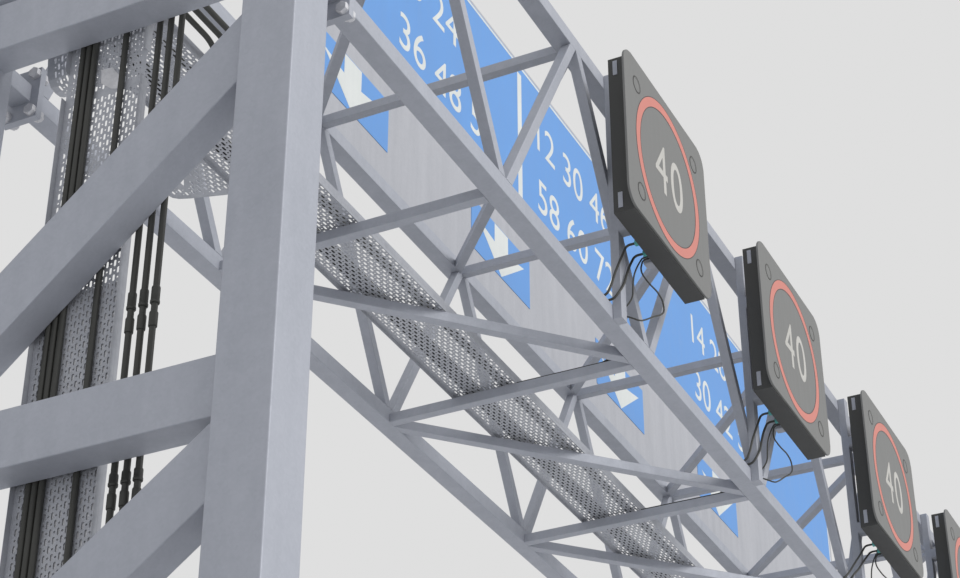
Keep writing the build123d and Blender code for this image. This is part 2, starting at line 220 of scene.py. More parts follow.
# Anchors: four on a square round each post's middle
POST_INSET = 0.375
ANCHOR_REACH = 0.295
ANCHOR_WASHER, ANCHOR_WASHER_THICK = 0.042, 0.007
ANCHOR_FLATS = 0.06
ANCHOR_NUT_TALL = 0.03
ANCHOR_RADIUS, ANCHOR_LENGTH, ANCHOR_SUNK = 0.018, 0.075, 0.02
ROUND_STEPS, STUD_STEPS = 28, 20
CORNER_CUT = 0.07

# Sleeved joints of the side cables: places, then lower end, upper end and whether a collar is on it
SLEEVE_FORWARD = 0.029
SLEEVE_ASIDES = (0.458, 0.554, 0.647)
SLEEVES = ((4.487, 4.62, True), (4.308, 4.423, False), (3.18, 3.27, True), (3.02, 3.13, False))
SLEEVE_BORE, SLEEVE_LIP, SLEEVE_RADIUS = 0.0235, 0.028, 0.0305
SLEEVE_FOOT, SLEEVE_SHOULDER, SLEEVE_TOP = 0.004, 0.01, 0.003
COLLAR_LIP, COLLAR_RADIUS = 0.031, 0.0335
COLLAR_TOP, COLLAR_FADE = 0.02, 0.022


def make_camera():
    data = bpy.data.cameras.new("photo_camera")
    data.sensor_fit = "HORIZONTAL"
    data.sensor_width = SENSOR
    data.lens = LENS
    data.clip_end = VIEW_END
    camera = bpy.data.objects.new("photo_camera", data)
    turn = Matrix((RIGHT, -DOWN, -AHEAD)).transposed()
    camera.matrix_world = Matrix.Translation(EYE) @ turn.to_4x4()
    bpy.context.scene.collection.objects.link(camera)
    bpy.context.scene.camera = camera


make_camera()


# Soft studio light from all round, and a pale background that camera, gloss and glass see
def make_world():
    world = bpy.data.worlds.new("studio")
    bpy.context.scene.world = world
    world.use_nodes = True
    tree = world.node_tree
    tree.nodes.clear()
    out = tree.nodes.new("ShaderNodeOutputWorld")
    mix = tree.nodes.new("ShaderNodeMixShader")
    fill = tree.nodes.new("ShaderNodeBackground")
    pale = tree.nodes.new("ShaderNodeBackground")
    seen = tree.nodes.new("ShaderNodeLightPath")
    gloss = tree.nodes.new("ShaderNodeMath")
    glass = tree.nodes.new("ShaderNodeMath")
    gloss.operation = "MAXIMUM"
    glass.operation = "MAXIMUM"
    fill.inputs["Color"].default_value = FILL_TINT
    fill.inputs["Strength"].default_value = FILL_STRENGTH
    pale.inputs["Color"].default_value = BACKDROP
    tree.links.new(seen.outputs["Is Camera Ray"], gloss.inputs[0])
    tree.links.new(seen.outputs["Is Glossy Ray"], gloss.inputs[1])
    tree.links.new(gloss.outputs["Value"], glass.inputs[0])
    tree.links.new(seen.outputs["Is Transmission Ray"], glass.inputs[1])
    tree.links.new(glass.outputs["Value"], mix.inputs["Fac"])
    tree.links.new(fill.outputs["Background"], mix.inputs[1])
    tree.links.new(pale.outputs["Background"], mix.inputs[2])
    tree.links.new(mix.outputs["Shader"], out.inputs["Surface"])


def make_key_light():
    data = bpy.data.lights.new("key_light", "SUN")
    data.energy = KEY_STRENGTH
    data.angle = KEY_SOFTNESS
    lamp = bpy.data.objects.new("key_light", data)
    lamp.rotation_euler = Vector(KEY_WAY).to_track_quat("-Z", "Y").to_euler()
    bpy.context.scene.collection.objects.link(lamp)


make_world()
make_key_light()


# Parts that the shader groups are built from
def group_of(name, inputs):
    tree = bpy.data.node_groups.new(name, "ShaderNodeTree")
    for label, kind, value in inputs:
        socket = tree.interface.new_socket(name=label, in_out="INPUT", socket_type=kind)
        socket.default_value = value
    tree.interface.new_socket(name="Color", in_out="OUTPUT", socket_type="NodeSocketColor")
    for label in ("Roughness", "Height"):
        tree.interface.new_socket(name=label, in_out="OUTPUT", socket_type="NodeSocketFloat")
    return tree, tree.nodes.new("NodeGroupInput"), tree.nodes.new("NodeGroupOutput")


def noise_in(tree, coords, scale, detail, stretch=None):
    noise = tree.nodes.new("ShaderNodeTexNoise")
    noise.inputs["Scale"].default_value = scale
    noise.inputs["Detail"].default_value = detail
    source = coords
    if stretch:
        mapping = tree.nodes.new("ShaderNodeMapping")
        mapping.inputs["Scale"].default_value = stretch
        tree.links.new(coords, mapping.inputs["Vector"])
        source = mapping.outputs["Vector"]
    tree.links.new(source, noise.inputs["Vector"])
    return noise.outputs["Fac"]


def spread(tree, value, between, to):
    remap = tree.nodes.new("ShaderNodeMapRange")
    for label, number in zip(("From Min", "From Max", "To Min", "To Max"), between + to):
        remap.inputs[label].default_value = number
    tree.links.new(value, remap.inputs["Value"])
    return remap.outputs["Result"]


def sum_of(tree, first, second, share):
    blend = tree.nodes.new("ShaderNodeMix")
    blend.inputs["Factor"].default_value = share
    tree.links.new(first, blend.inputs["A"])
    tree.links.new(second, blend.inputs["B"])
    return blend.outputs["Result"]


def tint(tree, factor, dark, pale, out):
    mix = tree.nodes.new("ShaderNodeMix")
    mix.data_type = "RGBA"
    tree.links.new(factor, mix.inputs["Factor"])
    tree.links.new(dark, mix.inputs["A"])
    tree.links.new(pale, mix.inputs["B"])
    tree.links.new(mix.outputs["Result"], out)


# Zinc: clouds, blotches, streaks that run down, and small flakes
def make_zinc():
    tree, source, out = group_of("zinc_bloom", [
        ("Dark", "NodeSocketColor", (0.3, 0.3, 0.33, 1)),
        ("Pale", "NodeSocketColor", (0.5, 0.5, 0.54, 1)),
        ("Streaks", "NodeSocketFloat", 0.4),
    ])
    coords = tree.nodes.new("ShaderNodeTexCoord").outputs["Object"]
    clouds = noise_in(tree, coords, scale=0.9, detail=5)
    blotch = noise_in(tree, coords, scale=9, detail=6)
    runs = noise_in(tree, coords, scale=7, detail=4, stretch=(1, 1, 0.12))
    spangle = tree.nodes.new("ShaderNodeTexVoronoi")
    spangle.inputs["Scale"].default_value = 46
    tree.links.new(coords, spangle.inputs["Vector"])
    flake = tree.nodes.new("ShaderNodeRGBToBW")
    tree.links.new(spangle.outputs["Color"], flake.inputs["Color"])
    base = sum_of(tree, clouds, blotch, share=0.4)
    streaked = tree.nodes.new("ShaderNodeMix")
    tree.links.new(source.outputs["Streaks"], streaked.inputs["Factor"])
    tree.links.new(base, streaked.inputs["A"])
    tree.links.new(runs, streaked.inputs["B"])
    flaked = sum_of(tree, streaked.outputs["Result"], flake.outputs["Val"], share=0.12)
    tone = spread(tree, flaked, between=(0.33, 0.67), to=(0, 1))
    tint(tree, tone, source.outputs["Dark"], source.outputs["Pale"], out.inputs["Color"])
    tree.links.new(spread(tree, flaked, between=(0.3, 0.7), to=(0.7, 0.46)), out.inputs["Roughness"])
    fine = noise_in(tree, coords, scale=160, detail=3)
    tree.links.new(sum_of(tree, flaked, fine, share=0.3), out.inputs["Height"])
    return tree


# Coat: dust, streaks that run down, and a fine grain
def make_grain():
    tree, source, out = group_of("coat_grain", [
        ("Dark", "NodeSocketColor", (0.05, 0.05, 0.05, 1)),
        ("Pale", "NodeSocketColor", (0.08, 0.08, 0.08, 1)),
        ("Grain", "NodeSocketFloat", 220.0),
    ])
    coords = tree.nodes.new("ShaderNodeTexCoord").outputs["Object"]
    dust = noise_in(tree, coords, scale=2.2, detail=6)
    runs = noise_in(tree, coords, scale=11, detail=4, stretch=(1, 1, 0.1))
    soil = sum_of(tree, dust, runs, share=0.45)
    grain = tree.nodes.new("ShaderNodeTexNoise")
    grain.inputs["Detail"].default_value = 2
    tree.links.new(source.outputs["Grain"], grain.inputs["Scale"])
    tree.links.new(coords, grain.inputs["Vector"])
    tone = spread(tree, soil, between=(0.3, 0.7), to=(0, 1))
    tint(tree, tone, source.outputs["Dark"], source.outputs["Pale"], out.inputs["Color"])
    tree.links.new(spread(tree, soil, between=(0.3, 0.7), to=(0.42, 0.66)), out.inputs["Roughness"])
    tree.links.new(grain.outputs["Fac"], out.inputs["Height"])
    return tree


ZINC = make_zinc()
GRAIN = make_grain()


def finish_of(name, group, dark, pale, character, metal, bump, depth):
    material = bpy.data.materials.new(name)
    material.use_nodes = True
    tree = material.node_tree
    shader = tree.nodes["Principled BSDF"]
    shader.inputs["Metallic"].default_value = metal
    effect = tree.nodes.new("ShaderNodeGroup")
    effect.node_tree = group
    effect.inputs["Dark"].default_value = (*dark, 1)
    effect.inputs["Pale"].default_value = (*pale, 1)
    label, value = character
    effect.inputs[label].default_value = value
    relief = tree.nodes.new("ShaderNodeBump")
    relief.inputs["Strength"].default_value = bump
    relief.inputs["Distance"].default_value = depth
    tree.links.new(effect.outputs["Color"], shader.inputs["Base Color"])
    tree.links.new(effect.outputs["Roughness"], shader.inputs["Roughness"])
    tree.links.new(effect.outputs["Height"], relief.inputs["Height"])
    tree.links.new(relief.outputs["Normal"], shader.inputs["Normal"])
    return material


def zinc_finish(name, dark, pale, streaks, metal, bump=0.2):
    return finish_of(name, ZINC, dark, pale, ("Streaks", streaks), metal, bump, depth=0.002)


def coat_finish(name, dark, pale, grain, bump, depth=0.0005):
    return finish_of(name, GRAIN, dark, pale, ("Grain", grain), 0, bump, depth)


# Finishes, each with its dark tone and its pale one
FINISH = {
    "galvanised": zinc_finish(
        "dull_galvanised", (0.365, 0.38, 0.42), (0.425, 0.44, 0.485), streaks=0.35, metal=0.15),
    "tray": zinc_finish(
        "tray_galvanised", (0.37, 0.38, 0.41), (0.5, 0.51, 0.54), streaks=0.2, metal=0.2),
    "sheet": zinc_finish(
        "bare_sheet", (0.41, 0.415, 0.44), (0.46, 0.465, 0.49), streaks=0.6, metal=0.1, bump=0.12),
    "blue": coat_finish(
        "blue_sheeting", (0.115, 0.3, 0.65), (0.14, 0.335, 0.7), grain=300, bump=0.08, depth=0.0004),
    "case": coat_finish(
        "case_coat", (0.042, 0.042, 0.039), (0.058, 0.058, 0.054), grain=260, bump=0.3, depth=0.0006),
    "signal_face": coat_finish(
        "face_coat", (0.165, 0.165, 0.158), (0.195, 0.195, 0.187), grain=200, bump=0.2, depth=0.0006),
    "cable": coat_finish(
        "cable_sheath", (0.03, 0.03, 0.026), (0.055, 0.055, 0.048), grain=120, bump=0.25),
    "gland": coat_finish(
        "gland_plastic", (0.07, 0.36, 0.33), (0.12, 0.46, 0.42), grain=200, bump=0.1, depth=0.0004),
    "white": coat_finish(
        "white_sheeting", (0.66, 0.68, 0.65), (0.74, 0.76, 0.73), grain=300, bump=0.08, depth=0.0004),
    "ring": coat_finish(
        "ring_red", (0.57, 0.19, 0.15), (0.65, 0.235, 0.19), grain=240, bump=0.15),
    "digits": coat_finish(
        "digit_white", (0.47, 0.46, 0.42), (0.56, 0.54, 0.5), grain=240, bump=0.15),
    # Dark seals round the lenses, and painted shade along the signal ring's edges
    "line": coat_finish(
        "seal_and_painted_edge_shade", (0.02, 0.02, 0.018), (0.05, 0.05, 0.045), grain=200, bump=0.2),
    "bright": zinc_finish(
        "bright_zinc", (0.5, 0.5, 0.52), (0.75, 0.75, 0.77), streaks=0.1, metal=0.6),
}
for entry in frame["record"]["subparts"]:
    mesh = nodes[entry["node"]].data
    mesh.materials.clear()
    mesh.materials.append(FINISH[entry["material_slot"]])


# Every new piece gets its material and its body
def piece_of(name, mesh, finish):
    mesh.materials.clear()
    mesh.materials.append(FINISH[finish])
    piece = bpy.data.objects.new(name, mesh)
    bpy.context.scene.collection.objects.link(piece)
    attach(piece, "root")
    return piece


def close_up(name, work, finish):
    mesh = bpy.data.meshes.new(name)
    work.to_mesh(mesh)
    work.free()
    return piece_of(name, mesh, finish)


# Steps that several pieces share
def face_outward(work):
    bmesh.ops.recalc_face_normals(work, faces=work.faces)


def soften(work, offset, segments=2):
    bmesh.ops.bevel(work, geom=work.edges, offset=offset, segments=segments, profile=0.5, affect="EDGES")


def band(work, before, after, smooth=False):
    for k in range(len(before)):
        n = (k + 1) % len(before)
        work.faces.new((before[k], before[n], after[n], after[k])).smooth = smooth


def block(work, centre, size):
    made = bmesh.ops.create_cube(work, size=1)
    for v in made["verts"]:
        v.co = [middle + share * length for middle, share, length in zip(centre, v.co, size)]


# For each vert, the longest edge of the solid that it belongs to
def longest_edges(work):
    reach = {}
    for start in work.verts:
        if start in reach:
            continue
        reach[start] = 0
        solid = [start]
        for vert in solid:
            for edge in vert.link_edges:
                other = edge.other_vert(vert)
                if other not in reach:
                    reach[other] = 0
                    solid.append(other)
        longest = max(edge.calc_length() for vert in solid for edge in vert.link_edges)
        reach.update((vert, longest) for vert in solid)
    return reach


# Rolled sections with rounded long edges in place of the plain solids
def rounded(node, radius):
    work = bmesh.new()
    work.from_mesh(nodes[node].data)
    bmesh.ops.remove_doubles(work, verts=work.verts, dist=MERGE_WITHIN)
    bmesh.ops.dissolve_limit(work, angle_limit=FLAT_WITHIN, verts=work.verts, edges=work.edges)
    longest = longest_edges(work)
    chosen = [edge for edge in work.edges if edge.calc_length() > LONG_SHARE * longest[edge.verts[0]]]
    made = bmesh.ops.bevel(
        work, geom=chosen, offset=radius, offset_type="OFFSET", segments=3, profile=0.5, affect="EDGES"
    )
    for face in made["faces"]:
        face.smooth = True
    piece = close_up(f"{node}_section", work, "galvanised")
    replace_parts(piece, node)


def make_sections():
    for side in ("near", "far"):
        for member in ("front_post", "rear_post"):
            rounded(f"{side}_{member}", POST_ROUND)
        for member in ("struts", "diagonals", "chord_stubs"):
            rounded(f"{side}_{member}", CHORD_ROUND)
    for member in ("chord_front_bottom", "chord_front_top", "chord_rear_bottom", "chord_rear_top"):
        rounded(member, CHORD_ROUND)
    for member in ("front_web", "rear_web", "top_bracing", "bottom_bracing",
                   "signal_poles", "signal_rails", "sign_posts"):
        rounded(member, BRACE_ROUND)


make_sections()


# Perforated sheet on a grid: slots and pin holes by turns, along s, across t, thickness along h
class Sheet:
    def __init__(self, place):
        self.place = place
        self.points = []
        self.faces = []

    def point(self, s, t, h):
        self.points.append(self.place(s, t, h))
        return len(self.points) - 1

    def pair(self, s, t):
        return self.point(s, t, 0.0), self.point(s, t, SHEET)

    def skin(self, ring):
        self.faces.append([high for low, high in ring])
        self.faces.append([low for low, high in reversed(ring)])

    def cell(self, corners, s, t, hole):
        ring = [self.pair(s + ds, t + dt) for ds, dt in hole]
        a, b, c, d = corners
        half = len(hole) // 2
        self.skin([a, b, ring[0], ring[-1]])
        self.skin([b, c] + ring[half - 1::-1])
        self.skin([c, d, ring[half], ring[half - 1]])
        self.skin([d, a] + ring[:half - 1:-1])
        for k, (low, high) in enumerate(ring):
            after = ring[(k + 1) % len(ring)]
            self.faces.append([high, after[1], after[0], low])

    def rim(self, lows, highs):
        for a, b in zip(lows, lows[1:]):
            self.faces.append([a[0], b[0], b[1], a[1]])
        for a, b in zip(highs, highs[1:]):
            self.faces.append([a[1], b[1], b[0], a[0]])

    def run(self, s_edges, phase, rows=ROWS, t_mid=0.0, strips=(EDGE_STRIP, EDGE_STRIP), plain_ends=1):
        t_edges = [t_mid + (k - rows / 2) * ROW for k in range(rows + 1)]
        t_all = [t_edges[0] - strips[0]] + t_edges + [t_edges[-1] + strips[1]]
        grid = [[self.pair(s, t) for t in t_all] for s in s_edges]
        last_s, last_t = len(s_edges) - 1, len(t_all) - 1
        for i in range(last_s):
            for j in range(last_t):
                corners = [grid[i][j], grid[i + 1][j], grid[i + 1][j + 1], grid[i][j + 1]]
                if j in (0, last_t - 1) or i < plain_ends or i >= last_s - plain_ends:
                    self.skin(corners)
                    continue
                s = (s_edges[i] + s_edges[i + 1]) / 2
                t = (t_all[j] + t_all[j + 1]) / 2
                self.cell(corners, s, t, SLOT if (i + j + phase) % 2 else PIN)
        self.rim([column[0] for column in grid], [column[-1] for column in grid])
        self.rim(grid[-1], grid[0])

    def wall(self, steps, t_low, t_high, h_low, h_high):
        corners = ((t_low, h_low), (t_high, h_low), (t_high, h_high), (t_low, h_high))
        rings = [[self.point(s, t, h) for t, h in corners] for s in steps]
        for before, after in zip(rings, rings[1:]):
            for k in range(4):
                n = (k + 1) % 4
                self.faces.append([before[k], before[n], after[n], after[k]])
        self.faces.append(list(reversed(rings[0])))
        self.faces.append(rings[-1])

    def walls(self, steps):
        for way in (-1, 1):
            low, high = sorted((way * HALF_TRAY, way * (HALF_TRAY - SHEET)))
            self.wall(steps, low, high, -BASE_RISE, WALL_RISE)

    def piece(self, name):
        mesh = bpy.data.meshes.new(name)
        mesh.from_pydata(self.points, [], self.faces)
        mesh.validate()
        return piece_of(name, mesh, "tray")


def on_span(s, t, h):
    return (s, TRAY_Y + t, BASE_Z + h)


def on_riser(s, t, h):
    return (BASE_X - h, TRAY_Y + t, s)


def on_bend(s, t, h):
    if s < BEND_Z:
        return on_riser(s, t, h)
    angle = (s - BEND_Z) / BEND_TURN
    reach = BEND_TURN + h
    return (BEND_X - reach * math.cos(angle), TRAY_Y + t, BEND_Z + reach * math.sin(angle))


def even_steps(start, length, count):
    return [start + length * k / count for k in range(count + 1)]


# Edges of whole cells about a centre, with what is left over as a plain strip at each end
def cell_edges(low, high, centre):
    first = math.ceil((low - centre) / GRID - 0.5 + LEAST_END)
    last = math.floor((high - centre) / GRID - 0.5 - LEAST_END)
    return [low] + [centre + (k + 0.5) * GRID for k in range(first, last + 1)] + [high], first


def make_span_trays():
    middle = (TRAY_LOW.x + TRAY_HIGH.x) / 2
    cut = SPAN_CELL_X + (round((middle - SPAN_CELL_X) / GRID) + 0.5) * GRID
    for name, low, high in (("span_tray_near", TRAY_LOW.x, cut), ("span_tray_far", cut, TRAY_HIGH.x)):
        sheet = Sheet(on_span)
        edges, first = cell_edges(low, high, SPAN_CELL_X)
        sheet.run(edges, first)
        sheet.walls([low, high])
        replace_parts(sheet.piece(name), "span_tray")


def make_riser_trays():
    sheet = Sheet(on_riser)
    edges, first = cell_edges(RISER_LOW.z, RISER_HIGH.z, 0.0)
    sheet.run(edges, first)
    sheet.walls([RISER_LOW.z, RISER_HIGH.z])
    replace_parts(sheet.piece("riser_tray_sheet"), "riser_tray")
    sheet = Sheet(on_riser)
    sheet.run(even_steps(RISER_HIGH.z, BEND_START - RISER_HIGH.z, HEAD_CELLS), 0, plain_ends=0)
    sheet.piece("riser_head_sheet")


def make_tray_bend():
    sheet = Sheet(on_bend)
    length = BEND_Z - BEND_START + BEND_TURN * math.pi / 2
    sheet.run(even_steps(BEND_START, length, BEND_CELLS), 0, plain_ends=0)
    sheet.walls(even_steps(BEND_START, length, BEND_WALL_STEPS))
    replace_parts(sheet.piece("tray_bend_sheet"), "tray_bend")


make_span_trays()
make_riser_trays()
make_tray_bend()


# Curve through a run of corners, each rounded to its own radius
def filleted(corners, radii, steps=6):
    curve = [Vector(corners[0])]
    for k, radius in enumerate(radii, 1):
        before, corner, after = (Vector(c) for c in corners[k - 1:k + 2])
        a = (before - corner).normalized()
        b = (after - corner).normalized()
        half = a.angle(b) / 2
        centre = corner + (a + b).normalized() * radius / math.sin(half)
        start = corner + a * radius / math.tan(half)
        end = corner + b * radius / math.tan(half)
        for n in range(steps + 1):
            curve.append(centre + (start - centre).lerp(end - centre, n / steps).normalized() * radius)
    return curve + [Vector(corners[-1])]


# Spot and direction at a distance s along a curve
def along(curve, s):
    for before, after in zip(curve, curve[1:]):
        span = (after - before).length
        if s <= span or after is curve[-1]:
            way = (after - before).normalized()
            return before + way * s, way
        s -= span


# Whether a point lies inside a ring, by the sides that a line from it crosses
def inside(point, ring):
    x, y = point
    hit = False
    for (x0, y0), (x1, y1) in zip(ring, ring[1:] + ring[:1]):
        if (y0 > y) != (y1 > y) and x < (x1 - x0) * (y - y0) / (y1 - y0) + x0:
            hit = not hit
    return hit


# The tray's slots and pin holes wherever they fit in an outline, clear of its openings
def holes_in(outline, openings, margin):
    holes = []
    low_a, high_a = min(a for a, b in outline), max(a for a, b in outline)
    low_b, high_b = min(b for a, b in outline), max(b for a, b in outline)
    for i in range(int((high_a - low_a) / GRID) + 1):
        for j in range(int((high_b - low_b) / ROW) + 1):
            a = low_a + (i + 0.5) * GRID
            b = low_b + (j + 0.5) * ROW
            shape = SLOT if (i + j) % 2 else PIN
            grown = [(a + da + math.copysign(margin, da), b + db + math.copysign(margin, db))
                     for da, db in shape]
            clear = all(inside(g, outline) for g in grown)
            clear = clear and not any(inside(g, opening) for g in grown for opening in openings)
            if clear and not any(inside(h, grown) for opening in openings for h in opening):
                holes.append([(a + da, b + db) for da, db in shape])
    return holes


# Flat perforated sheet of any outline
def holed_plate(name, outline, openings, place, margin):
    work = bmesh.new()
    edges = []
    for ring in [outline] + openings + holes_in(outline, openings, margin):
        verts = [work.verts.new((a, b, 0)) for a, b in ring]
        edges += [work.edges.new((v, verts[(k + 1) % len(verts)])) for k, v in enumerate(verts)]
    bmesh.ops.triangle_fill(work, use_beauty=True, edges=edges, normal=(0, 0, 1))
    made = bmesh.ops.extrude_face_region(work, geom=list(work.faces), use_keep_orig=True)
    for v in made["geom"]:
        if isinstance(v, bmesh.types.BMVert):
            v.co.z = PLATE_SHEET
    for v in work.verts:
        v.co = place(*v.co)
    face_outward(work)
    return close_up(name, work, "tray")


def make_side_trough():
    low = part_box("side_trough")[0]
    corners = [(NEAR_LEG + dx, BASE_Z + dz) for dx, dz in TROUGH_CORNERS]
    curve = filleted(corners, TROUGH_ROUNDS)
    length = sum((b - a).length for a, b in zip(curve, curve[1:]))

    def on_trough(s, t, h):
        spot, way = along(curve, s)
        return (spot.x - way.y * h, low.y + t, spot.y + way.x * h)

    def on_cheek(a, b, h):
        return (a, low.y + h, b)

    sheet = Sheet(on_trough)
    sheet.run(even_steps(0, length, round(length / GRID)), 0,
              rows=TROUGH_ROWS, t_mid=TROUGH_MIDDLE, strips=TROUGH_STRIPS)
    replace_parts(sheet.piece("side_trough_sheet"), "side_trough")
    cheek = holed_plate("side_trough_cheek", [(p.x, p.y) for p in curve], [], on_cheek, CHEEK_MARGIN)
    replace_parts(cheek, "side_trough")


def make_side_plate():
    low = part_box("side_plate")[0]
    wide = 2 * HALF_TRAY
    outline, opening = ([(NEAR_LEG + dx, low.y + wide * share) for dx, share in ring]
                        for ring in (PLATE_OUTLINE, PLATE_OPENING))

    def on_plate(a, b, h):
        return (a, b, low.z + h)

    flat = holed_plate("side_plate_sheet", outline, [opening], on_plate, PLATE_MARGIN)
    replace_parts(flat, "side_plate")


make_side_trough()
make_side_plate()


# Plain sheet behind the riser's lower part; its bright zinc finish is painted light, which makes it show
# lighter through the slots than the tray in front
def make_riser_backing():
    work = bmesh.new()
    centre = (BASE_X + BACKING_BEHIND, TRAY_Y, (RISER_LOW.z + BACKING_TOP) / 2)
    block(work, centre, (BACKING_THICK, 2 * (HALF_TRAY - BACKING_INSET), BACKING_TOP - RISER_LOW.z))
    soften(work, BACKING_ROUND)
    close_up("riser_backing", work, "bright")


# Light cleat across the riser's head
def make_riser_cleat():
    work = bmesh.new()
    front = [work.verts.new((BASE_X - CLEAT_FRONT, y, z)) for y, z in CLEAT]
    back = [work.verts.new((BASE_X - CLEAT_BACK, y, z)) for y, z in CLEAT]
    work.faces.new(front)
    work.faces.new(back[::-1])
    band(work, back, front)
    face_outward(work)
    soften(work, CLEAT_ROUND)
    close_up("riser_cleat", work, "bright")


make_riser_backing()
make_riser_cleat()


# Outline of a rectangle with round corners
def rounded_outline(wide, tall, radius, steps=8):
    points = []
    for cx, cz, start in ((1, 1, 0), (-1, 1, 90), (-1, -1, 180), (1, -1, 270)):
        for k in range(steps + 1):
            angle = math.radians(start + 90 * k / steps)
            points.append((cx * (wide / 2 - radius) + radius * math.cos(angle),
                           cz * (tall / 2 - radius) + radius * math.sin(angle)))
    return points


# Upright plate with its outline in x and z
def plate(work, outline, front, back, origin=(0, 0), bevel=0.0):
    x0, z0 = origin
    near = [work.verts.new((x0 + x, front, z0 + z)) for x, z in outline]
    far = [work.verts.new((x0 + x, back, z0 + z)) for x, z in outline]
    front_face = work.faces.new(near)
    work.faces.new(far[::-1])
    band(work, far, near)
    if bevel:
        rim = list(front_face.edges)
        made = bmesh.ops.bevel(work, geom=rim, offset=bevel, segments=3, profile=0.5, affect="EDGES")
        for face in made["faces"]:
            face.smooth = True


# Upright flat ring about a spot in x and z
def ring_solid(work, spot, inner, outer, front, back, steps=96):
    x, z = spot
    turns = [2 * math.pi * k / steps for k in range(steps)]
    rings = []
    for radius, y in ((inner, front), (outer, front), (outer, back), (inner, back)):
        rings.append([work.verts.new((x + radius * math.cos(turn), y, z + radius * math.sin(turn)))
                      for turn in turns])
    for before, after in zip(rings, rings[1:] + rings[:1]):
        band(work, before, after)


# Plain figures as thin solids, with their lower left corner at left and base
def figures(name, text, left, base, front, tall, finish, wide=None):
    data = bpy.data.curves.new(name + "_curve", "FONT")
    data.body = text
    data.extrude = 0.5
    holder = bpy.data.objects.new(name + "_curve", data)
    mesh = bpy.data.meshes.new_from_object(holder)
    bpy.data.objects.remove(holder)
    xs = [v.co.x for v in mesh.vertices]
    ys = [v.co.y for v in mesh.vertices]
    scale = tall / (max(ys) - min(ys))
    across = wide / (max(xs) - min(xs)) if wide else scale
    x0, y0 = min(xs), min(ys)
    for v in mesh.vertices:
        x, y, z = v.co
        behind = (data.extrude - z) * FIGURE_THICK
        v.co = (left + (x - x0) * across, front + behind, base + (y - y0) * scale)
    mesh.name = name
    return piece_of(name, mesh, finish)


def make_face_plate(number, middle, front):
    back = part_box(f"signal_{number}_face")[1].y
    work = bmesh.new()
    plate(work, rounded_outline(FACE_WIDE, FACE_TALL, FACE_ROUND), front + FACE_FRONT, back,
          origin=(middle.x + FACE_ASIDE, middle.z + FACE_RAISE), bevel=FACE_BEVEL)
    face_outward(work)
    piece = close_up(f"signal_{number}_face_plate", work, "signal_face")
    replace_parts(piece, f"signal_{number}_face")


def make_ring(number, middle, front):
    work = bmesh.new()
    ring_solid(work, (middle.x, middle.z), RING_INNER, RING_OUTER, front + RING_FRONT, front + SEAL_BACK)
    face_outward(work)
    close_up(f"signal_{number}_ring", work, "ring")


# Dark lines along the ring's edges, painted shade along the raised ring's rims, and dark seals round the
# lenses
def make_seals_and_painted_edge_shade(number, middle, front):
    work = bmesh.new()
    for inner, outer in ((LINE_INNER, RING_INNER), (RING_OUTER, LINE_OUTER)):
        ring_solid(work, (middle.x, middle.z), inner, outer, front + LINE_FRONT, front + SEAL_BACK)
    for across, up in LENS_SPOTS:
        spot = (middle.x + across, middle.z + up)
        ring_solid(work, spot, LENS_RIM, LENS_SEAL, front, front + SEAL_BACK, LENS_STEPS)
    face_outward(work)
    close_up(f"signal_{number}_seals_and_painted_edge_shade", work, "line")


def make_lenses(number, middle, front):
    work = bmesh.new()
    for across, up in LENS_SPOTS:
        x, z = middle.x + across, middle.z + up
        ring_solid(work, (x, z), LENS_RADIUS, LENS_RIM, front + RIM_FRONT, front + LENS_BACK, LENS_STEPS)
        dome = bmesh.ops.create_uvsphere(work, u_segments=20, v_segments=8, radius=LENS_RADIUS)
        for v in dome["verts"]:
            v.co = (x + v.co.x, front + LENS_BACK + v.co.y * LENS_FLATNESS, z + v.co.z)
    face_outward(work)
    close_up(f"signal_{number}_lenses", work, "signal_face")


def make_speed_figures(number, middle, front):
    for text, left in SPEED_FIGURES:
        figures(f"signal_{number}_figure_{text}", text, middle.x + left, middle.z - SPEED_DROP,
                front + LINE_FRONT, SPEED_TALL, "digits", SPEED_WIDE)


def make_side_plates(number, low, high):
    work = bmesh.new()
    for x in (low.x, high.x):
        for rise in SIDE_PLATE_RISES:
            block(work, (x, low.y + SIDE_PLATE_BEHIND, low.z + rise), SIDE_PLATE_SIZE)
    soften(work, SIDE_PLATE_ROUND)
    close_up(f"signal_{number}_side_plates", work, "galvanised")


def make_joint_box(number, middle, low, high):
    work = bmesh.new()
    centre = (middle.x + JOINT_BOX_ASIDE, high.y + JOINT_BOX_BEHIND, low.z + JOINT_BOX_RISE)
    block(work, centre, JOINT_BOX_SIZE)
    soften(work, JOINT_BOX_ROUND, segments=3)
    close_up(f"signal_{number}_joint_box", work, "galvanised")


def make_signals():
    for number, (low, high) in enumerate(SIGNALS, 1):
        middle = (low + high) / 2
        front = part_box(f"signal_{number}_face")[0].y
        make_face_plate(number, middle, front)
        make_ring(number, middle, front)
        make_seals_and_painted_edge_shade(number, middle, front)
        make_lenses(number, middle, front)
        make_speed_figures(number, middle, front)
        make_side_plates(number, low, high)
        make_joint_box(number, middle, low, high)


make_signals()


# Border and divider of the blue panel, as bars from x to x and z to z
def legend_bars():
    x0, x1 = BLUE_LOW.x + BORDER_INSET, BLUE_HIGH.x - BORDER_INSET
    z0, z1 = BLUE_LOW.z + BORDER_INSET, BLUE_HIGH.z - BORDER_INSET
    inner_z = (z0 + BORDER_WIDE, z1 - BORDER_WIDE)
    return [((x0, x1), (z1 - BORDER_WIDE, z1)), ((x0, x1), (z0, z0 + BORDER_WIDE)),
            ((x0, x0 + BORDER_WIDE), inner_z), ((x1 - BORDER_WIDE, x1), inner_z), (DIVIDER_X, DIVIDER_Z)]


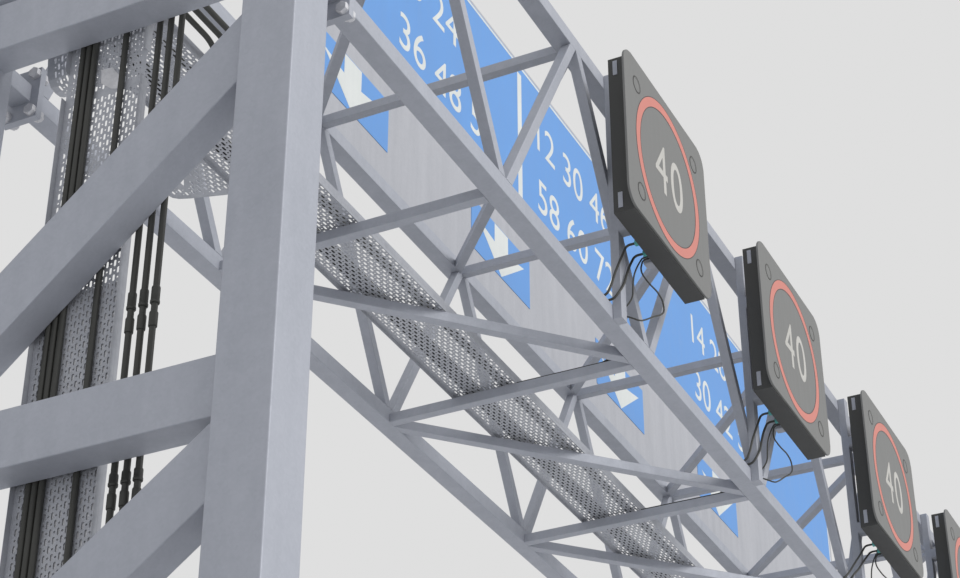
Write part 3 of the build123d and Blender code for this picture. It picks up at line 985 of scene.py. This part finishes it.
# Arrow that points down to its lane, about its own middle
def arrow_outline():
    tip, tail = ARROWS_LOW.z + ARROW_INSET, ARROWS_HIGH.z - ARROW_INSET
    return [(0, tip), (ARROW_BARB, ARROW_BARB_Z), (ARROW_NECK, ARROW_NECK_Z), (ARROW_NECK, tail),
            (-ARROW_NECK, tail), (-ARROW_NECK, ARROW_NECK_Z), (-ARROW_BARB, ARROW_BARB_Z)]


def make_legend():
    work = bmesh.new()
    for (x0, x1), (z0, z1) in legend_bars():
        plate(work, [(x0, z0), (x1, z0), (x1, z1), (x0, z1)],
              BLUE_LOW.y - LEGEND_PROUD, BLUE_LOW.y + LEGEND_SUNK)
    for low, high in SIGNALS:
        plate(work, arrow_outline(), ARROWS_LOW.y - LEGEND_PROUD, ARROWS_LOW.y + LEGEND_SUNK,
              origin=((low.x + high.x) / 2, 0))
    face_outward(work)
    close_up("sign_border_and_arrows", work, "white")
    number = 0
    for left, texts in zip(COLUMN_LEFTS, COLUMN_NUMBERS):
        for base, text in zip(ROW_BASES, texts):
            number += 1
            figures(f"sign_numbers_{number}", text, left, base, BLUE_LOW.y - LEGEND_PROUD, NUMBER_TALL,
                    "white")


make_legend()


# Solid with this many sides on an axis, as washers, nuts and studs need it
def disc(work, centre, axis, radius, height, sides, lift=0.0):
    lean = Vector(axis).to_track_quat("Z", "Y").to_matrix().to_4x4()
    turn = Matrix.Translation(Vector(centre) + Vector(axis) * (lift + height / 2)) @ lean
    return bmesh.ops.create_cone(work, cap_ends=True, segments=sides, radius1=radius, radius2=radius,
                                 depth=height, matrix=turn)


# Hexagon head or nut with its outer edges cut back
def hexagon(work, centre, axis, flats, height, lift):
    made = disc(work, centre, axis, flats / math.sqrt(3), height, 6, lift)
    middle = lift + height / 2
    top = [v for v in made["verts"] if (v.co - Vector(centre)).dot(Vector(axis)) > middle]
    rim = [edge for v in top for edge in v.link_edges if edge.verts[0] == v and edge.verts[1] in top]
    bmesh.ops.bevel(work, geom=rim, offset=flats * CORNER_CUT, segments=2, profile=0.6, affect="EDGES")


def make_flange_bolts():
    head_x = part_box("leg_flanges")[1].x
    nut_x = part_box("truss_flanges")[1].x - FLANGE_THICK
    chords = [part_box(f"chord_{a}_{b}") for a in ("front", "rear") for b in ("bottom", "top")]
    work = bmesh.new()
    for low, high in chords:
        y, z = (low.y + high.y) / 2, (low.z + high.z) / 2
        for way in (-1, 1):
            outward, inward = (way, 0, 0), (-way, 0, 0)
            for dy, dz in BOLT_SPOTS:
                head = (way * head_x, y + dy, z + dz)
                nut = (way * nut_x, y + dy, z + dz)
                disc(work, head, outward, BOLT_WASHER, BOLT_WASHER_THICK, ROUND_STEPS)
                hexagon(work, head, outward, BOLT_FLATS, BOLT_HEAD_TALL, BOLT_WASHER_THICK)
                disc(work, nut, inward, BOLT_WASHER, BOLT_WASHER_THICK, ROUND_STEPS)
                hexagon(work, nut, inward, BOLT_FLATS, BOLT_NUT_TALL, BOLT_WASHER_THICK)
                disc(work, nut, inward, BOLT_RADIUS, BOLT_END, STUD_STEPS)
    close_up("flange_bolts", work, "bright")


def make_anchor_nuts():
    up = (0, 0, 1)
    work = bmesh.new()
    for side in ("near", "far"):
        low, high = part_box(f"{side}_base_plates")
        x = (low.x + high.x) / 2
        for y in (low.y + POST_INSET, high.y - POST_INSET):
            for dx in (-ANCHOR_REACH, ANCHOR_REACH):
                for dy in (-ANCHOR_REACH, ANCHOR_REACH):
                    foot = (x + dx, y + dy, high.z)
                    disc(work, foot, up, ANCHOR_WASHER, ANCHOR_WASHER_THICK, ROUND_STEPS)
                    hexagon(work, foot, up, ANCHOR_FLATS, ANCHOR_NUT_TALL, ANCHOR_WASHER_THICK)
                    disc(work, foot, up, ANCHOR_RADIUS, ANCHOR_LENGTH, STUD_STEPS, -ANCHOR_SUNK)
    close_up("anchor_nuts", work, "bright")


make_flange_bolts()
make_anchor_nuts()


# A sleeve's section from its lower end to its upper one, in radius and height
def sleeve_profile(low, high, collar):
    if collar:
        foot = [(COLLAR_LIP, low), (COLLAR_RADIUS, low + SLEEVE_FOOT),
                (COLLAR_RADIUS, low + COLLAR_TOP), (SLEEVE_RADIUS, low + COLLAR_FADE)]
    else:
        foot = [(SLEEVE_LIP, low), (SLEEVE_RADIUS, low + SLEEVE_FOOT)]
    return [(SLEEVE_BORE, low)] + foot + [(SLEEVE_RADIUS, high - SLEEVE_SHOULDER),
                                          (SLEEVE_LIP, high - SLEEVE_TOP), (SLEEVE_BORE, high)]


# Sleeved joints in the three cables beside the riser
def make_sleeves():
    x = BASE_X - SLEEVE_FORWARD
    turns = [2 * math.pi * k / ROUND_STEPS for k in range(ROUND_STEPS)]
    work = bmesh.new()
    for aside in SLEEVE_ASIDES:
        y = TRAY_Y - aside
        for low, high, collar in SLEEVES:
            rings = [[work.verts.new((x + radius * math.cos(turn), y + radius * math.sin(turn), z))
                      for turn in turns] for radius, z in sleeve_profile(low, high, collar)]
            for before, after in zip(rings, rings[1:]):
                band(work, before, after, smooth=True)
            band(work, rings[-1], rings[0])
    face_outward(work)
    close_up("cable_sleeves", work, "cable")


make_sleeves()


# Pale floor of limited size, which stays out of the photo camera's view
def make_floor():
    mesh = bpy.data.meshes.new("floor")
    x, y = FLOOR_HALF_LENGTH, FLOOR_HALF_DEPTH
    mesh.from_pydata([(-x, -y, 0), (x, -y, 0), (x, y, 0), (-x, y, 0)], [], [(0, 1, 2, 3)])
    material = bpy.data.materials.new("floor")
    material.use_nodes = True
    shader = material.node_tree.nodes["Principled BSDF"]
    shader.inputs["Base Color"].default_value = FLOOR_GREY
    shader.inputs["Roughness"].default_value = FLOOR_ROUGHNESS
    mesh.materials.append(material)
    floor = bpy.data.objects.new("floor", mesh)
    bpy.context.scene.collection.objects.link(floor)


make_floor()

bpy.context.scene.view_settings.view_transform = "Standard"
